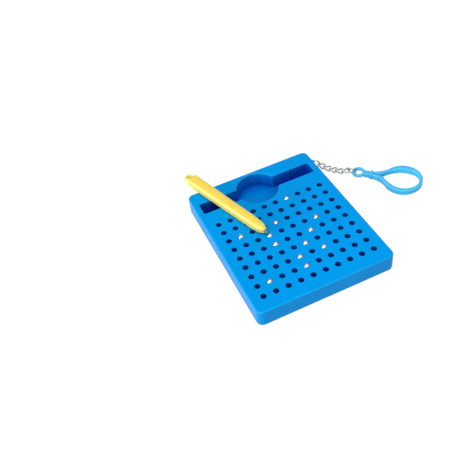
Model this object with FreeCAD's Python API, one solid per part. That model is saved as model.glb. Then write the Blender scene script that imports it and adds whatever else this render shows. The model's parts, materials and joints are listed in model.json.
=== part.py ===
import FreeCAD, Part
import math
import os

# Pocket magnetic ball drawing board with its stylus and a snap-hook chain, in millimetres.
# Origin: middle of the underside. +X is the side with the chain, +Y the side with the stylus
# tray, +Z is up. Every piece is drawn where it lies when the board is at rest on a table.

Vector = FreeCAD.Vector

# Case
side_margin = 7.35
front_margin = 8.85
rear_land = 2.05
board_height = 11.0
corner_radius = 3.5
top_edge_radius = 1.0
bottom_edge_radius = 1.2
side_wall = 1.8
top_plate = 2.2
cover_thickness = 1.2
cover_gap = 0.1

# Field of balls
ball_columns = 10
ball_rows = 9
ball_pitch = 7.0
ball_radius = 1.75
ball_travel = 4.24
ball_gap = 0.05
bore_clearance = 0.2
hole_radius = 1.6
lip_height = 0.25
lip_taper = 0.5
mouth_chamfer = 0.1
raised_balls = ((1, 1), (1, 6), (3, 4), (3, 5), (4, 1), (4, 2), (4, 6), (5, 3), (6, 2), (6, 4), (6, 8), (7, 5))

# Ball tray and retaining sheet
sheet_thickness = 0.5
sheet_hole_clearance = 0.04
cell_wall = 0.6
cell_floor = 1.0
cell_rim = 0.1
insert_wall_gap = 0.3
insert_boss_gap = 0.4
insert_rear_gap = 0.45

# Stylus tray
slot_end_margin = 3.85
slot_width = 8.5
slot_corner_radius = 1.0
scoop_radius = 12.25
well_depth = 9.0
well_wall = 1.0
scoop_blend_radius = 1.5
rim_radius = 0.8
grip_rib_radius = 0.8
grip_rib_proud = 0.5
grip_rib_x = 22.4
grip_rib_drop = 1.2

# Screws, their bosses and the back cover
screw_inset = 4.6
middle_screw_x = 26.0
screw_radius = 0.8
screw_head_radius = 1.75
screw_head_height = 1.15
screw_head_sink = 0.15
screw_length = 6.3
screw_recess_width = 0.45
screw_recess_length = 1.9
screw_recess_depth = 0.5
pilot_clearance = 0.03
screw_hole_clearance = 0.25
screw_head_clearance = 0.2
boss_wall = 1.17
boss_pad_gap = 0.05
pad_radius = 2.6
pad_rise = 1.4
pilot_extra = 0.4
cover_ribs = 5
cover_rib_width = 1.2
cover_rib_pitch = 14.0
cover_rib_end_gap = 1.5

# Lug for the chain
lug_reach = 2.15
lug_inset = 3.15
lug_height = 3.1
lug_hole_radius = 1.4
lug_ring_width = 0.9
lug_thickness = 1.1
lug_edge_radius = 0.4
lug_root_depth = 1.55

# Stylus
stylus_end_gap = 1.0
stylus_tail_width = 7.4
stylus_front_width = 6.0
stylus_nose_length = 10.0
stylus_thickness = 5.4
stylus_edge_radius = 1.5
stylus_tail_chamfer = 0.8
stylus_ring_radius = 2.6
stylus_ring_hole_radius = 1.3
stylus_ring_thickness = 2.2
stylus_ring_edge_radius = 0.6
stylus_ring_overlap = 0.6
magnet_radius = 0.8
magnet_length = 5.0
magnet_proud = 0.8
stylus_tip_from_left = 27.05
stylus_tip_from_front = 44.35
stylus_heading = 108.4
stylus_rest_gap = 0.05

# Chain: seven links of round wire, the middle five twisted like a curb chain
wire_radius = 0.4
link_half_length = 2.4
link_half_width = 1.55
end_link_half_width = 1.95
link_twist = 0.7
end_link_twist = -0.15
link_gap = 0.16
end_link_gap = 0.3
floor_gap = 0.12
link_headings = (-41.0, -57.0, -53.0, -49.0, -44.0, -38.0, -49.0)
link_rolls = (79.0, 0.0, 0.0, 0.0, 0.0, 0.0, 101.0)
lug_height_share = (1.0, 0.65, 0.27, 0.0, 0.0, 0.0, 0.0, 0.0)
eye_height_share = (0.0, 0.0, 0.0, 0.0, 0.0, 0.0, 0.95, 1.0)

# Snap hook of springy plastic
clip_heading = -45.0
clip_height = 3.6
clip_edge_radius = 0.6
eye_hole_radius = 2.4
eye_ring_width = 1.5
eye_ring_height = 2.2
eye_height = 2.45
neck_length = 4.4
neck_width = 3.6
neck_thickness = 3.0
neck_edge_radius = 0.7
collar_width = 4.7
collar_thickness = 1.1
collar_height = 4.0
collar_edge_radius = 0.4
loop_from_eye = 26.0
loop_radius = 11.1
loop_blend_radius = 14.0
arm_width = 2.5
root_half_width = 1.6
slit_half_width = 0.3
slit_end_wall = 1.6
slit_length = 3.0
gate_pivot_inset = 1.4
gate_closing_angle = 76.0
gate_gap = 0.1
flank_station = 0.68
upper_flank_share = 0.69
lower_flank_share = 0.84
loop_arm_shares = (
    (135.0, 1.04), (105.0, 1.34), (72.0, 1.28), (47.0, 0.90), (24.0, 0.70),
    (0.0, 0.72), (-27.0, 0.76), (-55.0, 0.93), (-90.0, 1.00), (-118.0, 1.04),
)

SLACK = 5.0  # how far cutting shapes run past the material that they cut


# Sizes and places that follow from the sizes above
cell_radius = ball_radius + bore_clearance + cell_wall
field_x = (ball_columns - 1) * ball_pitch
field_y = (ball_rows - 1) * ball_pitch
scoop_from_last_row = cell_radius + cell_rim + insert_rear_gap + well_wall + scoop_radius
board_x = field_x + 2 * side_margin
board_y = front_margin + field_y + scoop_from_last_row + scoop_radius + rear_land
slot_length = board_x - 2 * slot_end_margin
stylus_length = slot_length - 2 * stylus_end_gap
half_x = board_x / 2
half_y = board_y / 2
inner_x = half_x - side_wall
inner_y = half_y - side_wall
plate_under = board_height - top_plate
bore_radius = ball_radius + bore_clearance
lip_under = board_height - lip_height
ball_up_z = lip_under - math.sqrt(ball_radius**2 - hole_radius**2) - ball_gap
ball_down_z = ball_up_z - ball_travel
cell_floor_top = ball_down_z - ball_radius - ball_gap
cell_floor_under = cell_floor_top - cell_floor
sheet_under = plate_under - sheet_thickness
first_row_y = -half_y + front_margin
last_row_y = first_row_y + field_y
insert_rear_y = last_row_y + cell_radius + cell_rim
slot_y = last_row_y + scoop_from_last_row
slot_rear_y = slot_y + slot_width / 2
slot_front_y = slot_y - slot_width / 2
well_floor_z = board_height - well_depth
boss_radius = screw_radius + pilot_clearance + boss_wall
screw_seat_z = screw_head_sink + screw_head_height
pad_top_z = cover_thickness + pad_rise
middle_screw_y = (insert_rear_y + slot_front_y - well_wall) / 2
corner_screw_x = half_x - screw_inset
corner_screw_y = half_y - screw_inset
lug_radius = lug_hole_radius + lug_ring_width
lug_x = half_x + lug_reach
lug_y = half_y - lug_inset
lug_centre = Vector(lug_x, lug_y, lug_height)
stylus_tip_x = -half_x + stylus_tip_from_left
stylus_tip_y = -half_y + stylus_tip_from_front
stylus_under = board_height + stylus_rest_gap
stylus_mid_z = stylus_under + stylus_thickness / 2
stylus_ring_s = stylus_length - stylus_ring_radius
stylus_barrel_length = stylus_ring_s - stylus_ring_radius + stylus_ring_overlap
collar_u = eye_hole_radius + eye_ring_width + neck_length - collar_thickness
flank_v = root_half_width + loop_blend_radius
root_u = loop_from_eye - math.sqrt((loop_radius + loop_blend_radius) ** 2 - flank_v**2)
join_share = loop_radius / (loop_radius + loop_blend_radius)
join_u = loop_from_eye - join_share * (loop_from_eye - root_u)
join_v = join_share * flank_v
join_angle = math.atan2(join_v - flank_v, join_u - root_u)
slit_start_u = root_u + slit_end_wall
slit_end_u = slit_start_u + slit_length
gate_pivot_u = slit_start_u + gate_pivot_inset
gate_pivot_edge_v = flank_v - math.sqrt(loop_blend_radius**2 - (gate_pivot_u - root_u) ** 2)
gate_pivot_v = (slit_half_width + gate_pivot_edge_v) / 2
gate_knuckle_radius = (gate_pivot_edge_v - slit_half_width) / 2
closing_radius = loop_radius - arm_width / 2
gate_reach = math.hypot(
    loop_from_eye + closing_radius * math.cos(math.radians(gate_closing_angle)) - gate_pivot_u,
    closing_radius * math.sin(math.radians(gate_closing_angle)) - gate_pivot_v,
)


def block(x0, x1, y0, y1, z0, z1):
    return Part.makeBox(x1 - x0, y1 - y0, z1 - z0, Vector(x0, y0, z0))


def disc(x, y, radius, z0, z1):
    return Part.makeCylinder(radius, z1 - z0, Vector(x, y, z0))


def upright_edges(shape):
    """The straight edges that run along Z."""
    found = []
    for edge in shape.Edges:
        box = edge.BoundBox
        if box.XLength < 0.01 and box.YLength < 0.01:
            found.append(edge)
    return found


def level_edges(shape, z):
    """The edges that lie in the plane at height z."""
    return [e for e in shape.Edges if abs(e.BoundBox.ZMin - z) < 0.01 and abs(e.BoundBox.ZMax - z) < 0.01]


def rounded_block(x_size, y_size, z0, z1, radius, y_middle=0.0):
    """A slab with its four upright edges rounded."""
    slab = block(-x_size / 2, x_size / 2, y_middle - y_size / 2, y_middle + y_size / 2, z0, z1)
    return slab.makeFillet(radius, upright_edges(slab))


def ball_place(column, row):
    """X and Y of one ball; column 0 is at -X and row 0 at the front."""
    return column * ball_pitch - field_x / 2, first_row_y + row * ball_pitch


def all_places():
    return [(column, row) for row in range(ball_rows) for column in range(ball_columns)]


def under_stylus(column, row):
    """True where a raised ball would touch the stylus that lies on the board."""
    x, y = ball_place(column, row)
    heading = math.radians(stylus_heading)
    dx, dy = x - stylus_tip_x, y - stylus_tip_y
    along = dx * math.cos(heading) + dy * math.sin(heading)
    across = abs(dy * math.cos(heading) - dx * math.sin(heading))
    reach = stylus_tail_width / 2 + ball_radius
    return -ball_radius < along < stylus_length and across < reach


def screw_places():
    places = []
    for side in (-1, 1):
        places.append((side * corner_screw_x, -corner_screw_y))
        places.append((side * middle_screw_x, middle_screw_y))
        places.append((side * corner_screw_x, corner_screw_y))
    return places


def revolved(profile, x, y):
    """The solid swept by a closed outline of (radius, z) points about the upright line at x, y."""
    wire = Part.makePolygon([Vector(r, 0, z) for r, z in profile + profile[:1]])
    solid = Part.Face(wire).revolve(Vector(0, 0, 0), Vector(0, 0, 1), 360)
    solid.translate(Vector(x, y, 0))
    return solid


def ball_hole(column, row):
    """Mouth, lip, taper and bore of one hole in the top plate."""
    mouth_radius = hole_radius + mouth_chamfer
    profile = [
        (0, plate_under - SLACK),
        (bore_radius, plate_under - SLACK),
        (bore_radius, lip_under - lip_taper),
        (hole_radius, lip_under),
        (hole_radius, board_height - mouth_chamfer),
        (mouth_radius, board_height),
        (mouth_radius, board_height + SLACK),
        (0, board_height + SLACK),
    ]
    return revolved(profile, *ball_place(column, row))


def well_shape(growth, z0, z1, radius):
    """The stylus slot with its round finger scoop, grown on all sides by growth."""
    slot = rounded_block(slot_length + 2 * growth, slot_width + 2 * growth, z0, z1, radius, slot_y)
    shape = slot.fuse(disc(0, slot_y, scoop_radius + growth, z0, z1)).removeSplitter()
    half_width = slot_width / 2 + growth
    inner_corners = []
    for edge in upright_edges(shape):
        middle = edge.CenterOfMass
        if abs(abs(middle.y - slot_y) - half_width) < 0.01 and abs(middle.x) < scoop_radius + growth:
            inner_corners.append(edge)
    return shape.makeFillet(scoop_blend_radius, inner_corners)


def lug():
    """The flat ring on the side wall that holds the first link."""
    z0 = lug_height - lug_thickness / 2
    z1 = lug_height + lug_thickness / 2
    plate = block(half_x - lug_root_depth, lug_x, lug_y - lug_radius, lug_y + lug_radius, z0, z1)
    ring = plate.fuse(disc(lug_x, lug_y, lug_radius, z0, z1)).removeSplitter()
    ring = ring.cut(disc(lug_x, lug_y, lug_hole_radius, z0 - SLACK, z1 + SLACK))
    return ring.makeFillet(lug_edge_radius, level_edges(ring, z0) + level_edges(ring, z1))


def top_shell():
    """The moulded case: top plate with its holes, side walls, stylus well, bosses and lug."""
    shell = rounded_block(board_x, board_y, 0, board_height, corner_radius)
    shell = shell.makeFillet(bottom_edge_radius, level_edges(shell, 0))
    shell = shell.makeFillet(top_edge_radius, level_edges(shell, board_height))
    cavity_radius = corner_radius - side_wall
    shell = shell.cut(rounded_block(2 * inner_x, 2 * inner_y, -SLACK, plate_under, cavity_radius))
    envelope = rounded_block(board_x - side_wall, board_y - side_wall, 0, board_height - top_edge_radius,
                             corner_radius - side_wall / 2)
    well = well_shape(well_wall, cover_thickness, board_height - top_edge_radius, slot_corner_radius + well_wall)
    shell = shell.fuse(well.common(envelope))
    for x, y in screw_places():
        shell = shell.fuse(disc(x, y, boss_radius, pad_top_z + boss_pad_gap, plate_under + top_plate / 2))
    shell = shell.fuse(lug()).removeSplitter()
    shell = shell.cut(well_shape(0, well_floor_z, board_height + SLACK, slot_corner_radius))
    rim = []
    for edge in level_edges(shell, board_height):
        middle = edge.CenterOfMass
        if abs(middle.x) < slot_length / 2 + 0.1 and abs(middle.y - slot_y) < scoop_radius + 0.1:
            rim.append(edge)
    shell = shell.makeFillet(rim_radius, rim)
    rib_y = slot_rear_y + grip_rib_radius - grip_rib_proud
    for side in (-1, 1):
        rib_top = board_height - grip_rib_drop
        shell = shell.fuse(disc(side * grip_rib_x, rib_y, grip_rib_radius, well_floor_z, rib_top))
    holes = [ball_hole(column, row) for column, row in all_places()]
    pilot_top = screw_seat_z + screw_length + pilot_extra
    for x, y in screw_places():
        holes.append(disc(x, y, screw_radius + pilot_clearance, 0, pilot_top))
    return shell.cut(Part.makeCompound(holes))


def insert_plate(z0, z1):
    """The outline that the ball tray and the sheet share, with its corners cut for the front bosses."""
    side = inner_x - insert_wall_gap
    plate = block(-side, side, -inner_y + insert_wall_gap, insert_rear_y, z0, z1)
    notch_x = corner_screw_x - boss_radius - insert_boss_gap
    notch_y = -corner_screw_y + boss_radius + insert_boss_gap
    for x0, x1 in ((-half_x, -notch_x), (notch_x, half_x)):
        plate = plate.cut(block(x0, x1, -half_y, notch_y, z0 - SLACK, z1 + SLACK))
    return plate


def ball_tray():
    """One upright tube for each ball, on a floor that carries the lowered balls."""
    cells = []
    bores = []
    for column, row in all_places():
        x, y = ball_place(column, row)
        cells.append(disc(x, y, cell_radius, cell_floor_top - cell_floor / 2, sheet_under))
        bores.append(disc(x, y, bore_radius, cell_floor_top, sheet_under + SLACK))
    tray = insert_plate(cell_floor_under, cell_floor_top).fuse(cells)
    return tray.cut(Part.makeCompound(bores))


def retaining_sheet():
    """The soft sheet whose holes grip the balls, drawn with its holes opened by a passing ball."""
    radius = ball_radius + sheet_hole_clearance
    holes = []
    for column, row in all_places():
        x, y = ball_place(column, row)
        holes.append(disc(x, y, radius, sheet_under - SLACK, plate_under + SLACK))
    return insert_plate(sheet_under, plate_under).cut(Part.makeCompound(holes))


def back_cover():
    """The flat cover set into the underside, with ribs under the ball tray and screw pads."""
    cover_x = 2 * (inner_x - cover_gap)
    cover_y = 2 * (inner_y - cover_gap)
    cover = rounded_block(cover_x, cover_y, 0, cover_thickness, corner_radius - side_wall - cover_gap)
    for index in range(cover_ribs):
        x = (index - (cover_ribs - 1) / 2) * cover_rib_pitch
        front = -inner_y + cover_rib_end_gap
        rear = insert_rear_y - cover_rib_end_gap
        rib = block(x - cover_rib_width / 2, x + cover_rib_width / 2, front, rear,
                    cover_thickness / 2, cell_floor_under)
        cover = cover.fuse(rib)
    for x, y in screw_places():
        cover = cover.fuse(disc(x, y, pad_radius, cover_thickness / 2, pad_top_z))
    cover = cover.removeSplitter()
    for x, y in screw_places():
        cover = cover.cut(disc(x, y, screw_head_radius + screw_head_clearance, -SLACK, screw_seat_z))
        cover = cover.cut(disc(x, y, screw_radius + screw_hole_clearance, 0, pad_top_z + SLACK))
    return cover


def case_screw(x, y):
    """A pan-head screw with a cross recess, driven up from below."""
    head = disc(x, y, screw_head_radius, screw_head_sink, screw_seat_z)
    screw = head.fuse(disc(x, y, screw_radius, screw_seat_z, screw_seat_z + screw_length)).removeSplitter()
    long, short = screw_recess_length / 2, screw_recess_width / 2
    bottom = screw_head_sink + screw_recess_depth
    cross = block(x - long, x + long, y - short, y + short, 0, bottom)
    cross = cross.fuse(block(x - short, x + short, y - long, y + long, 0, bottom))
    return screw.cut(cross)


def balls(places, z):
    """Steel balls at the given columns and rows, as one shape of separate solids."""
    solids = []
    for column, row in places:
        x, y = ball_place(column, row)
        solids.append(Part.makeSphere(ball_radius, Vector(x, y, z)))
    return solids[0] if len(solids) == 1 else Part.makeCompound(solids)


def ball_groups():
    """Places of the lowered balls: one group for each row, and one for those under the stylus."""
    groups = {}
    covered = []
    for row in range(ball_rows):
        free = []
        for column in range(ball_columns):
            if (column, row) in raised_balls:
                continue
            if under_stylus(column, row):
                covered.append((column, row))
            else:
                free.append((column, row))
        groups["lowered_balls_row_%d" % (row + 1)] = free
    groups["lowered_balls_under_stylus"] = covered
    return groups


def on_stylus(shape):
    """Move a shape from the stylus's own frame (tip at 0, tail along +X) to where it lies."""
    placed = shape.copy()
    placed.rotate(Vector(0, 0, 0), Vector(0, 0, 1), stylus_heading)
    placed.translate(Vector(stylus_tip_x, stylus_tip_y, 0))
    return placed


def stylus_barrel():
    """The flat plastic barrel: a rounded nose, a slow taper and a ring at the tail."""
    front, tail = stylus_front_width / 2, stylus_tail_width / 2
    length = stylus_barrel_length
    nose = Part.BezierCurve()
    nose.setPoles([
        Vector(stylus_nose_length, -front, 0),
        Vector(stylus_nose_length * 0.36, -front * 0.93, 0),
        Vector(0, -front * 0.62, 0),
        Vector(0, 0, 0),
        Vector(0, front * 0.62, 0),
        Vector(stylus_nose_length * 0.36, front * 0.93, 0),
        Vector(stylus_nose_length, front, 0),
    ])
    corners = [
        Vector(stylus_nose_length, front, 0),
        Vector(length, tail, 0),
        Vector(length, -tail, 0),
        Vector(stylus_nose_length, -front, 0),
    ]
    edges = [nose.toShape()]
    edges += [Part.LineSegment(a, b).toShape() for a, b in zip(corners, corners[1:])]
    outline = Part.Face(Part.Wire(Part.__sortEdges__(edges)))
    outline.translate(Vector(0, 0, stylus_under))
    barrel = outline.extrude(Vector(0, 0, stylus_thickness))
    level = level_edges(barrel, stylus_under) + level_edges(barrel, stylus_under + stylus_thickness)
    barrel = barrel.makeFillet(stylus_edge_radius, [e for e in level if e.BoundBox.XMin < length - 0.01])
    barrel = barrel.makeChamfer(stylus_tail_chamfer, [e for e in barrel.Edges if e.BoundBox.XMin > length - 0.01])
    z0 = stylus_mid_z - stylus_ring_thickness / 2
    z1 = stylus_mid_z + stylus_ring_thickness / 2
    ring = disc(stylus_ring_s, 0, stylus_ring_radius, z0, z1)
    ring = ring.makeFillet(stylus_ring_edge_radius, level_edges(ring, z0) + level_edges(ring, z1))
    barrel = barrel.fuse(ring)
    barrel = barrel.cut(disc(stylus_ring_s, 0, stylus_ring_hole_radius, z0 - SLACK, z1 + SLACK))
    socket = Part.makeCylinder(magnet_radius, magnet_length - magnet_proud + SLACK,
                               Vector(-SLACK, 0, stylus_mid_z), Vector(1, 0, 0))
    return on_stylus(barrel.cut(socket))


def stylus_magnet():
    """The round bar magnet pressed into the nose, its end showing."""
    magnet = Part.makeCylinder(magnet_radius, magnet_length, Vector(-magnet_proud, 0, stylus_mid_z),
                               Vector(1, 0, 0))
    return on_stylus(magnet.makeFillet(magnet_radius / 4, [magnet.Edges[0], magnet.Edges[2]]))


def turned(heading, elevation, roll):
    """A link's own axes: along it, across it and out of its plane."""
    h, e, r = math.radians(heading), math.radians(elevation), math.radians(roll)
    along = Vector(math.cos(e) * math.cos(h), math.cos(e) * math.sin(h), math.sin(e))
    level = Vector(-math.sin(h), math.cos(h), 0)
    across = level * math.cos(r) + along.cross(level) * math.sin(r)
    return along, across, along.cross(across)


def chain_layout():
    """Each link as (middle, axes, half width, twist), and the middle of the snap hook's eye."""
    lying_height = link_twist + wire_radius + floor_gap
    heights = []
    for lug_share, eye_share in zip(lug_height_share, eye_height_share):
        rise = lug_share * (lug_height - lying_height) + eye_share * (eye_height - lying_height)
        heights.append(lying_height + rise)
    pitch = 2 * (link_half_length - wire_radius) - link_gap
    lug_step = lug_hole_radius - end_link_gap - wire_radius + link_half_length
    eye_step = eye_hole_radius - end_link_gap - wire_radius + link_half_length
    count = len(link_headings)
    place = lug_centre
    links = []
    for index, heading in enumerate(link_headings):
        before = lug_step if index == 0 else pitch / 2
        after = eye_step if index == count - 1 else pitch / 2
        climb = math.degrees(math.asin((heights[index + 1] - heights[index]) / (before + after)))
        axes = turned(heading, climb, link_rolls[index])
        middle = place + axes[0] * before
        place = middle + axes[0] * after
        if index in (0, count - 1):
            links.append((middle, axes, end_link_half_width, end_link_twist))
        else:
            links.append((middle, axes, link_half_width, link_twist))
    return links, place


def chain_link(middle, axes, half_width, twist):
    """One closed link of round wire, bent out of its plane by twist."""
    points = []
    steps = 16
    for step in range(steps):
        turn = 2 * math.pi * step / steps
        along = link_half_length * math.cos(turn)
        across = half_width * math.sin(turn)
        out = twist * math.sin(2 * turn)
        points.append(middle + axes[0] * along + axes[1] * across + axes[2] * out)
    curve = Part.BSplineCurve()
    curve.interpolate(points, PeriodicFlag=True)
    half_way = (curve.FirstParameter + curve.LastParameter) / 2
    halves = []
    for first, last in ((curve.FirstParameter, half_way), (half_way, curve.LastParameter)):
        path = curve.toShape(first, last)
        start_tangent = curve.tangent(first)[0]
        ring = Part.Wire(Part.Circle(curve.value(first), start_tangent, wire_radius).toShape())
        halves.append(Part.Wire([path]).makePipeShell([ring], True, True))
    solids = [Part.Solid(half) if half.ShapeType == "Shell" else half for half in halves]
    return solids[0].fuse(solids[1])


def on_clip(shape, eye):
    """Move a shape from the snap hook's own frame (eye at 0, hook along +X) to where it lies."""
    placed = shape.copy()
    placed.rotate(Vector(0, 0, 0), Vector(0, 0, 1), clip_heading)
    placed.translate(Vector(eye.x, eye.y, 0))
    return placed


def softened_block(x0, x1, width, z_middle, height, radius):
    """A block centred on the hook's axis, with its edges along and across rounded."""
    shape = block(x0, x1, -width / 2, width / 2, z_middle - height / 2, z_middle + height / 2)
    return shape.makeFillet(radius, shape.Edges)


def flank_point(share, width):
    """A point that lies width inside the upper hollow flank, share of the way from root to loop."""
    angle = -math.pi / 2 + share * (join_angle + math.pi / 2)
    radius = loop_blend_radius + width
    return Vector(root_u + radius * math.cos(angle), flank_v + radius * math.sin(angle), 0)


def loop_point(angle, width):
    """A point that lies width inside the round end, at an angle in degrees from the hook's axis."""
    turn = math.radians(angle)
    radius = loop_radius - width
    return Vector(loop_from_eye + radius * math.cos(turn), radius * math.sin(turn), 0)


def mirrored(point):
    """The same point on the other side of the hook's axis."""
    return Vector(point.x, -point.y, 0)


def hook_outline():
    """Outer edge of the hook: one round end, with a hollow flank on each side down to the root."""
    root, middle, join = flank_point(0, 0), flank_point(0.5, 0), flank_point(1, 0)
    curves = [
        Part.Arc(root, middle, join),
        Part.Arc(join, loop_point(0, 0), mirrored(join)),
        Part.Arc(mirrored(join), mirrored(middle), mirrored(root)),
        Part.LineSegment(mirrored(root), root),
    ]
    return Part.Wire(Part.__sortEdges__([curve.toShape() for curve in curves]))


def hook_opening():
    """Inner edge of the hook: a rounded loop that narrows to a slit at the root."""
    upper_end = Vector(slit_end_u, slit_half_width, 0)
    upper_start = Vector(slit_start_u, slit_half_width, 0)
    points = [upper_end, flank_point(flank_station, arm_width * upper_flank_share)]
    points += [loop_point(angle, arm_width * share) for angle, share in loop_arm_shares]
    points += [mirrored(flank_point(flank_station, arm_width * lower_flank_share)), mirrored(upper_end)]
    curve = Part.BSplineCurve()
    curve.interpolate(Points=points, InitialTangent=Vector(1, 0, 0), FinalTangent=Vector(-1, 0, 0))
    edges = [
        Part.LineSegment(upper_start, upper_end).toShape(),
        curve.toShape(),
        Part.LineSegment(mirrored(upper_end), mirrored(upper_start)).toShape(),
        Part.Arc(mirrored(upper_start), Vector(slit_start_u - slit_half_width, 0, 0), upper_start).toShape(),
    ]
    return Part.Wire(edges)


def hook_loop():
    """The whole hook before the gate is parted from it."""
    loop = Part.Face(hook_outline()).extrude(Vector(0, 0, clip_height))
    loop = loop.cut(Part.Face(hook_opening()).extrude(Vector(0, 0, clip_height)))
    return loop.makeFillet(clip_edge_radius, level_edges(loop, 0) + level_edges(loop, clip_height))


def gate_zone(gap):
    """The space of the gate: inside one circle about its pivot, plus the knuckle at the pivot."""
    reach = disc(gate_pivot_u, gate_pivot_v, gate_reach + gap, -SLACK, clip_height + SLACK)
    side = block(gate_pivot_u - gap, gate_pivot_u + 2 * gate_reach, 0, 2 * gate_reach, -SLACK,
                 clip_height + SLACK)
    knuckle = disc(gate_pivot_u, gate_pivot_v, gate_knuckle_radius + gap, -SLACK, clip_height + SLACK)
    return reach.common(side).fuse(knuckle)


def clip_gate(eye):
    """The springy arm that is pushed in to open the hook."""
    return on_clip(hook_loop().common(gate_zone(0)), eye)


def eye_ring(ring_radius):
    """The ring of oval section that the last link passes through."""
    section = Part.Ellipse(Vector(0, 0, 0), eye_ring_height / 2, eye_ring_width / 2).toShape()
    section.rotate(Vector(0, 0, 0), Vector(0, 1, 0), -90)
    section.rotate(Vector(0, 0, 0), Vector(0, 0, 1), 90)
    section.translate(Vector(ring_radius, 0, eye_height))
    return Part.Face(Part.Wire(section)).revolve(Vector(0, 0, 0), Vector(0, 0, 1), 360)


def clip_body(eye):
    """Eye ring, neck, collar and the hook without its gate."""
    ring_radius = eye_hole_radius + eye_ring_width / 2
    body = eye_ring(ring_radius)
    neck_end = root_u + clip_edge_radius
    neck = softened_block(ring_radius, neck_end, neck_width, neck_thickness / 2 + (clip_height - neck_thickness),
                          neck_thickness, neck_edge_radius)
    collar = softened_block(collar_u, collar_u + collar_thickness, collar_width, collar_height / 2,
                            collar_height, collar_edge_radius)
    body = body.fuse([neck, collar, hook_loop().cut(gate_zone(gate_gap))])
    return on_clip(body, eye)


def save(name, shape):
    if not shape.isValid():
        raise ValueError("not a valid solid: " + name)
    shape.exportStep("parts/" + name + ".step")


def main():
    os.makedirs("parts", exist_ok=True)
    save("top_shell", top_shell())
    save("back_cover", back_cover())
    save("ball_tray", ball_tray())
    save("retaining_sheet", retaining_sheet())
    save("case_screws", Part.makeCompound([case_screw(x, y) for x, y in screw_places()]))
    for number, place in enumerate(raised_balls, start=1):
        save("raised_ball_%02d" % number, balls([place], ball_up_z))
    for name, places in ball_groups().items():
        save(name, balls(places, ball_down_z))
    save("stylus_barrel", stylus_barrel())
    save("stylus_magnet", stylus_magnet())
    links, eye = chain_layout()
    for number, link in enumerate(links, start=1):
        save("chain_link_%d" % number, chain_link(*link))
    save("clip_body", clip_body(eye))
    save("clip_gate", clip_gate(eye))


main()
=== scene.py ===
"""Looks for the pocket magnetic ball drawing board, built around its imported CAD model."""

import json
import math

import bmesh
import bpy
from mathutils import Matrix, Vector

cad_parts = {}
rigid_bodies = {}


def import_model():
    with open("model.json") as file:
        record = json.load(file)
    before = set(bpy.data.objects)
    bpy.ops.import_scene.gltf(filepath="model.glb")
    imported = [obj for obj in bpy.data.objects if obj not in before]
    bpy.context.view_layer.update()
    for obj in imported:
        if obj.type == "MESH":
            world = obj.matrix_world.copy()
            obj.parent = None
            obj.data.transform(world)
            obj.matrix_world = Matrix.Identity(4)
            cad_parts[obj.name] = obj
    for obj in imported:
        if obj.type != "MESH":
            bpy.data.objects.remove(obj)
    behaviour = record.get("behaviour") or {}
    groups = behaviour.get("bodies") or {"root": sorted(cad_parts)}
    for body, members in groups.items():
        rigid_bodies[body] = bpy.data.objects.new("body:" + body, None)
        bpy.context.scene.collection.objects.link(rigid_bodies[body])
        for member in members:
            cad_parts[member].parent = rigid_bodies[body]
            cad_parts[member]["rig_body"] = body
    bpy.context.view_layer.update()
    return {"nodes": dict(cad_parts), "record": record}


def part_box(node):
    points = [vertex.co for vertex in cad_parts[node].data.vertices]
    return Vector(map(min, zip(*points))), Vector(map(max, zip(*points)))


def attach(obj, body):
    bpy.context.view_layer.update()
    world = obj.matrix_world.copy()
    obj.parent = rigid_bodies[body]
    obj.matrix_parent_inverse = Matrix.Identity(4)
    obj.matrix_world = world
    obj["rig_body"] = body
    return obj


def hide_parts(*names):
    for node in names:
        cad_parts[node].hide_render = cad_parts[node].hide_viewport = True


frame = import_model()
nodes = frame["nodes"]
MM = 0.001
WHITE = (1, 1, 1)

# The camera's axes and place, in front of the board, to its left and rolled a little
CAMERA_RIGHT = (0.90939, -0.39857, -0.11895)
CAMERA_UP = (0.36446, 0.62573, 0.68966)
CAMERA_PLACE = (-0.0980, -0.2171, 0.2585)
CAMERA_LENS = 50.4
CAMERA_SENSOR = 36.0
CAMERA_NEAR = 0.01
CAMERA_FAR = 20.0

# The floor: a pale grey that lights the object, and a darker one with a glow for the camera
FLOOR_REACH = 6.0
FLOOR_DROP = 0.05 * MM
FLOOR_GREY = (0.78, 0.78, 0.78)
FLOOR_GREY_SEEN = (0.4, 0.4, 0.4)
FLOOR_ROUGHNESS = 0.8
GLOW_STARTS = 0.25
GLOW_FULL = 0.9
GLOW_NEAR = 0.72
GLOW_FAR = 1.0

# The sky's strength at the horizon and, from SKY_TOP of the way up, overhead
SKY_TOP = 0.8
SKY_LOW_STRENGTH = 0.15
SKY_HIGH_STRENGTH = 0.50

# Softboxes: place, size and watts
SOFTBOXES = {
    "softbox_above": ((-0.05, -0.12, 0.45), (0.4, 0.3), 1.3),
    "softbox_left": ((-0.70, -0.15, 0.22), (0.22, 0.22), 3.0),
}

# Plastic
PLASTIC_IOR = 1.5
# Reach and samples of the painted shade in hollows
PIT_REACH = 14 * MM
PIT_SAMPLES = 8
GLOW_DEPTH = 1.5 * MM
MOULD_GRAIN = 5e-6
BLUE_SHEEN = (0.0, 0.5, 1.0)
CLIP_SHEEN = (0.4, 0.9, 1.0)

# Moulded copies of CAD shapes
SHARP_ANGLE = math.radians(38)
WELD = 1e-7
STYLUS_VOXEL = 0.2 * MM
STYLUS_ROUNDS = 4
STYLUS_HALF_WIDTH = 3.5 * MM
STYLUS_CROWN = 0.06
CLIP_VOXEL = 0.14 * MM
CLIP_ROUNDS = 6


# ---------------------------------------------------------------- camera, floor and light


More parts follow.
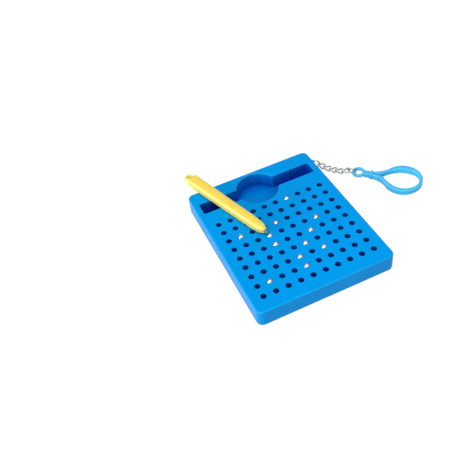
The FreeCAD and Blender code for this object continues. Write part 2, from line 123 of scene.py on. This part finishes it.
def make_camera():
    """A camera at the photograph's angle."""
    right = Vector(CAMERA_RIGHT)
    up = Vector(CAMERA_UP)
    back = right.cross(up).normalized()
    right = up.cross(back).normalized()
    data = bpy.data.cameras.new("camera")
    data.lens = CAMERA_LENS
    data.sensor_width = CAMERA_SENSOR
    data.clip_start = CAMERA_NEAR
    data.clip_end = CAMERA_FAR
    camera = bpy.data.objects.new("camera", data)
    turn = Matrix((right, up, back)).transposed().to_4x4()
    camera.matrix_world = Matrix.Translation(CAMERA_PLACE) @ turn
    bpy.context.scene.collection.objects.link(camera)
    bpy.context.scene.camera = camera


def area_light(name, place, size, watts):
    """A white softbox that faces the board."""
    data = bpy.data.lights.new(name, "AREA")
    data.shape = "RECTANGLE"
    data.size, data.size_y = size
    data.energy = watts
    light = bpy.data.objects.new(name, data)
    light.location = place
    light.rotation_euler = (-Vector(place)).to_track_quat("-Z", "Y").to_euler()
    bpy.context.scene.collection.objects.link(light)


def make_floor():
    """A white table top. To the camera it glows, more so far out, so that it meets the backdrop unseen."""
    corners = [
        (x * FLOOR_REACH, y * FLOOR_REACH, -FLOOR_DROP) for x, y in ((-1, -1), (1, -1), (1, 1), (-1, 1))
    ]
    mesh = bpy.data.meshes.new("studio_floor")
    mesh.from_pydata(corners, [], [(0, 1, 2, 3)])
    floor = bpy.data.objects.new("studio_floor", mesh)
    bpy.context.scene.collection.objects.link(floor)
    surface = Surface("floor_white", FLOOR_GREY, FLOOR_ROUGHNESS)
    surface.shader.inputs["Emission Color"].default_value = (*WHITE, 1)
    seen = surface.tree.nodes.new("ShaderNodeLightPath").outputs["Is Camera Ray"]
    surface.feed("Base Color", surface.mixed(seen, FLOOR_GREY, FLOOR_GREY_SEEN))
    distance = surface.length(surface.texture.outputs["Object"])
    glow = surface.spread(distance, GLOW_STARTS, GLOW_FULL, GLOW_NEAR, GLOW_FAR)
    surface.feed("Emission Strength", surface.math("MULTIPLY", seen, glow))
    mesh.materials.append(surface.material)


def make_world():
    """A dim sky that brightens upwards, and a white backdrop for the camera."""
    world = bpy.data.worlds.new("studio_world")
    world.use_nodes = True
    tree = world.node_tree
    place = tree.nodes.new("ShaderNodeTexCoord")
    parts = tree.nodes.new("ShaderNodeSeparateXYZ")
    tree.links.new(place.outputs["Generated"], parts.inputs[0])
    height = tree.nodes.new("ShaderNodeMapRange")
    height.inputs["From Min"].default_value = 0.0
    height.inputs["From Max"].default_value = SKY_TOP
    height.inputs["To Min"].default_value = SKY_LOW_STRENGTH
    height.inputs["To Max"].default_value = SKY_HIGH_STRENGTH
    tree.links.new(parts.outputs["Z"], height.inputs["Value"])
    sky = tree.nodes["Background"]
    sky.inputs["Color"].default_value = (*WHITE, 1)
    tree.links.new(height.outputs["Result"], sky.inputs["Strength"])
    backdrop = tree.nodes.new("ShaderNodeBackground")
    backdrop.inputs["Color"].default_value = (*WHITE, 1)
    seen = tree.nodes.new("ShaderNodeLightPath").outputs["Is Camera Ray"]
    choice = tree.nodes.new("ShaderNodeMixShader")
    tree.links.new(seen, choice.inputs[0])
    tree.links.new(sky.outputs[0], choice.inputs[1])
    tree.links.new(backdrop.outputs[0], choice.inputs[2])
    tree.links.new(choice.outputs[0], tree.nodes["World Output"].inputs["Surface"])
    bpy.context.scene.world = world


def make_lights():
    """The sky, one softbox above the board's front and one low on its left."""
    make_world()
    for name, (place, size, watts) in SOFTBOXES.items():
        area_light(name, place, size, watts)
    bpy.context.scene.view_settings.view_transform = "Standard"


# ---------------------------------------------------------------- materials


class Surface:
    """A Principled material with short helpers for the nodes that feed it."""

    def __init__(self, name, colour, roughness, **sockets):
        self.material = bpy.data.materials.new(name)
        self.material.use_nodes = True
        self.tree = self.material.node_tree
        self.shader = self.tree.nodes["Principled BSDF"]
        self.shader.inputs["Base Color"].default_value = (*colour, 1)
        self.shader.inputs["Roughness"].default_value = roughness
        for socket, value in sockets.items():
            self.shader.inputs[socket.replace("_", " ")].default_value = value
        self.texture = self.tree.nodes.new("ShaderNodeTexCoord")

    def link(self, source, target):
        self.tree.links.new(source, target)

    def feed(self, socket, source):
        """Drive one of the shader's sockets."""
        self.link(source, self.shader.inputs[socket])

    def math(self, operation, a, b):
        """One Math node; a and b are sockets or plain numbers."""
        node = self.tree.nodes.new("ShaderNodeMath")
        node.operation = operation
        for socket, value in zip(node.inputs, (a, b)):
            if isinstance(value, bpy.types.NodeSocket):
                self.link(value, socket)
            else:
                socket.default_value = value
        return node.outputs[0]

    def length(self, vector):
        node = self.tree.nodes.new("ShaderNodeVectorMath")
        node.operation = "LENGTH"
        self.link(vector, node.inputs[0])
        return node.outputs["Value"]

    def noise(self, scale, detail=2.0, stretch=(1, 1, 1)):
        """Noise over the object, scale in cells per metre."""
        mapping = self.tree.nodes.new("ShaderNodeMapping")
        mapping.inputs["Scale"].default_value = stretch
        self.link(self.texture.outputs["Object"], mapping.inputs["Vector"])
        noise = self.tree.nodes.new("ShaderNodeTexNoise")
        noise.inputs["Scale"].default_value = scale
        noise.inputs["Detail"].default_value = detail
        self.link(mapping.outputs["Vector"], noise.inputs["Vector"])
        return noise.outputs["Fac"]

    def spread(self, source, low, high, to_low=0.0, to_high=1.0):
        """Map a value from one range to another, held at its ends."""
        ranged = self.tree.nodes.new("ShaderNodeMapRange")
        ranged.inputs["From Min"].default_value = low
        ranged.inputs["From Max"].default_value = high
        ranged.inputs["To Min"].default_value = to_low
        ranged.inputs["To Max"].default_value = to_high
        self.link(source, ranged.inputs["Value"])
        return ranged.outputs["Result"]

    def mixed(self, factor, colour_a, colour_b):
        """A colour between two; each is a socket or an RGB triple."""
        mix = self.tree.nodes.new("ShaderNodeMix")
        mix.data_type = "RGBA"
        colour_inputs = [socket for socket in mix.inputs if socket.type == "RGBA"]
        for socket, colour in zip(colour_inputs, (colour_a, colour_b)):
            if isinstance(colour, bpy.types.NodeSocket):
                self.link(colour, socket)
            else:
                socket.default_value = (*colour, 1)
        self.link(factor, mix.inputs[0])
        return next(socket for socket in mix.outputs if socket.type == "RGBA")

    def top_edge_highlight(self):
        """Where the painted highlight goes: 1 where a rounded edge turns from the top to a side, 0 on level
        and upright faces.
        """
        parts = self.tree.nodes.new("ShaderNodeSeparateXYZ")
        self.link(self.texture.outputs["Normal"], parts.inputs[0])
        up = parts.outputs["Z"]
        share = self.math("MULTIPLY", up, self.math("SUBTRACT", 1.0, up))
        return self.spread(share, 0.04, 0.2)

    def painted_pit_shade(self, reach):
        """Painted shade: 1 in the open, falling to 0 far into this piece's own hollows and corners."""
        node = self.tree.nodes.new("ShaderNodeAmbientOcclusion")
        node.only_local = True
        node.samples = PIT_SAMPLES
        node.inputs["Distance"].default_value = reach
        return self.spread(node.outputs["AO"], 0.3, 1.0)

    def bump(self, source, height, previous=None):
        """A bump of that height in metres, on top of a previous one."""
        bump = self.tree.nodes.new("ShaderNodeBump")
        bump.inputs["Distance"].default_value = height
        self.link(source, bump.inputs["Height"])
        if previous is not None:
            self.link(previous, bump.inputs["Normal"])
        return bump.outputs["Normal"]


def moulded_plastic(
    name, colour, edge_highlight, roughness, soft=0.0, glow_depth=GLOW_DEPTH, gloss=0.5, tint=WHITE, pit_shade_colour=None
):
    """Injection-moulded plastic: flow marks, a painted highlight on rounded top edges, painted shade in
    hollows, fine grain and faint hairlines.
    """
    s = Surface(name, colour, roughness, IOR=PLASTIC_IOR, Specular_IOR_Level=gloss, Specular_Tint=(*tint, 1))
    if soft > 0:
        s.shader.inputs["Subsurface Weight"].default_value = soft
        s.shader.inputs["Subsurface Radius"].default_value = [0.4 + 0.6 * c for c in colour]
        s.shader.inputs["Subsurface Scale"].default_value = glow_depth
    flow = s.spread(s.noise(35.0, 3.0, (1.0, 0.4, 1.0)), 0.35, 0.65)
    body = s.mixed(flow, [c * 0.94 for c in colour], colour)
    # Painted highlight: the rounded top edges are lifted towards a paler colour.
    body = s.mixed(s.math("MULTIPLY", s.top_edge_highlight(), 0.6), body, edge_highlight)
    # Painted shade: the piece's own hollows and corners are darkened towards a dark blue.
    if pit_shade_colour is not None:
        body = s.mixed(s.painted_pit_shade(PIT_REACH), pit_shade_colour, body)
    s.feed("Base Color", body)
    s.feed("Roughness", s.spread(s.noise(70.0, 4.0), 0.3, 0.7, roughness * 0.85, roughness * 1.15))
    fine = s.bump(s.noise(2600.0), MOULD_GRAIN)
    hairlines = s.noise(900.0, 1.0, (1.0, 0.03, 1.0))
    s.feed("Normal", s.bump(hairlines, MOULD_GRAIN * 0.5, fine))
    return s.material


def bright_metal(name, colour, roughness, grain):
    """Polished or plated metal with faint scuffs and stains."""
    s = Surface(name, colour, roughness, Metallic=1.0)
    s.feed("Roughness", s.spread(s.noise(900.0, 4.0), 0.3, 0.7, roughness * 0.7, roughness * 1.5))
    stain = s.spread(s.noise(320.0, 3.0), 0.4, 0.7)
    s.feed("Base Color", s.mixed(stain, colour, [c * 0.86 for c in colour]))
    s.feed("Normal", s.bump(s.noise(3500.0), grain))
    return s.material


# Plastics: colour, a paler colour for the painted highlight on rounded top edges, roughness; case_blue's
# dark blue is the painted shade in its hollows.
MATERIALS = {
    "case_blue": moulded_plastic(
        "case_blue", (0.0, 0.31, 0.80), (0.02, 0.40, 0.88), 0.24,
        gloss=0.08, tint=BLUE_SHEEN, pit_shade_colour=(0.0, 0.045, 0.42),
    ),
    "tray_plastic": moulded_plastic(
        "tray_plastic", (0.0, 0.04, 0.42), (0.0, 0.06, 0.50), 0.5, tint=BLUE_SHEEN,
    ),
    "sheet_silicone": moulded_plastic(
        "sheet_silicone", (0.0, 0.03, 0.36), (0.0, 0.04, 0.40), 0.6, tint=BLUE_SHEEN,
    ),
    "screw_steel": bright_metal("screw_steel", (0.55, 0.56, 0.58), 0.3, 4e-6),
    "ball_steel": bright_metal("ball_steel", (0.97, 0.97, 0.96), 0.24, 1e-6),
    "stylus_yellow": moulded_plastic(
        "stylus_yellow", (1.0, 0.72, 0.11), (1.0, 0.88, 0.40), 0.33, soft=0.8, glow_depth=4 * MM,
    ),
    "magnet_steel": bright_metal("magnet_steel", (0.35, 0.33, 0.34), 0.3, 3e-6),
    "chain_steel": bright_metal("chain_steel", (0.64, 0.63, 0.62), 0.26, 2e-6),
    "clip_blue": moulded_plastic(
        "clip_blue", (0.07, 0.57, 1.0), (0.18, 0.71, 1.0), 0.26, soft=0.4, gloss=0.3, tint=CLIP_SHEEN,
    ),
}


def dress(node, slot):
    """Give a CAD node the material of its slot."""
    mesh = nodes[node].data
    mesh.materials.clear()
    mesh.materials.append(MATERIALS[slot])


make_camera()
make_floor()
make_lights()
for entry in frame["record"]["subparts"]:
    dress(entry["node"], entry["material_slot"])


# ---------------------------------------------------------------- meshes


def piece_from(name, mesh, node, slot):
    """Link a finished mesh that stands for a CAD node and moves with that node's body."""
    piece = bpy.data.objects.new(name, mesh)
    bpy.context.scene.collection.objects.link(piece)
    mesh.materials.clear()
    mesh.materials.append(MATERIALS[slot])
    mesh.shade_smooth()
    mesh.set_sharp_from_angle(angle=SHARP_ANGLE)
    body = nodes[node]["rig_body"]
    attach(piece, body)
    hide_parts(node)


def moulded(node, voxel, rounds):
    """A copy of the CAD shape with its corners and joins run together a little, as by moulding."""
    build = bmesh.new()
    build.from_mesh(nodes[node].data)
    bmesh.ops.remove_doubles(build, verts=build.verts, dist=WELD)
    rough = bpy.data.meshes.new(node + "_rough")
    build.to_mesh(rough)
    build.free()
    carrier = bpy.data.objects.new("carrier", rough)
    bpy.context.scene.collection.objects.link(carrier)
    remesh = carrier.modifiers.new("remesh", "REMESH")
    remesh.mode = "VOXEL"
    remesh.voxel_size = voxel
    smooth = carrier.modifiers.new("smooth", "SMOOTH")
    smooth.factor = 0.5
    smooth.iterations = rounds
    evaluated = carrier.evaluated_get(bpy.context.evaluated_depsgraph_get())
    mesh = bpy.data.meshes.new_from_object(evaluated)
    bpy.data.objects.remove(carrier)
    return mesh


def crown_stylus(mesh, crown):
    """Arch the barrel's wide faces, so that they are a little lower at their edges than at the middle."""
    low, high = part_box("stylus_magnet")
    mounts = {mount["name"]: mount for mount in frame["record"]["mounts"]}
    ring = Vector(mounts["stylus_ring"]["pos_m"])
    along = (ring - (low + high) / 2).to_2d().normalized()
    across = Vector((-along.y, along.x))
    for vertex in mesh.vertices:
        side = (vertex.co - ring).to_2d().dot(across)
        share = min(abs(side) / STYLUS_HALF_WIDTH, 1.0)
        vertex.co.z = ring.z + (vertex.co.z - ring.z) * (1.0 - crown * share * share)


stylus_mesh = moulded("stylus_barrel", STYLUS_VOXEL, STYLUS_ROUNDS)
crown_stylus(stylus_mesh, STYLUS_CROWN)
piece_from("stylus_moulded", stylus_mesh, "stylus_barrel", "stylus_yellow")
for part in ("clip_body", "clip_gate"):
    piece_from(part + "_moulded", moulded(part, CLIP_VOXEL, CLIP_ROUNDS), part, "clip_blue")
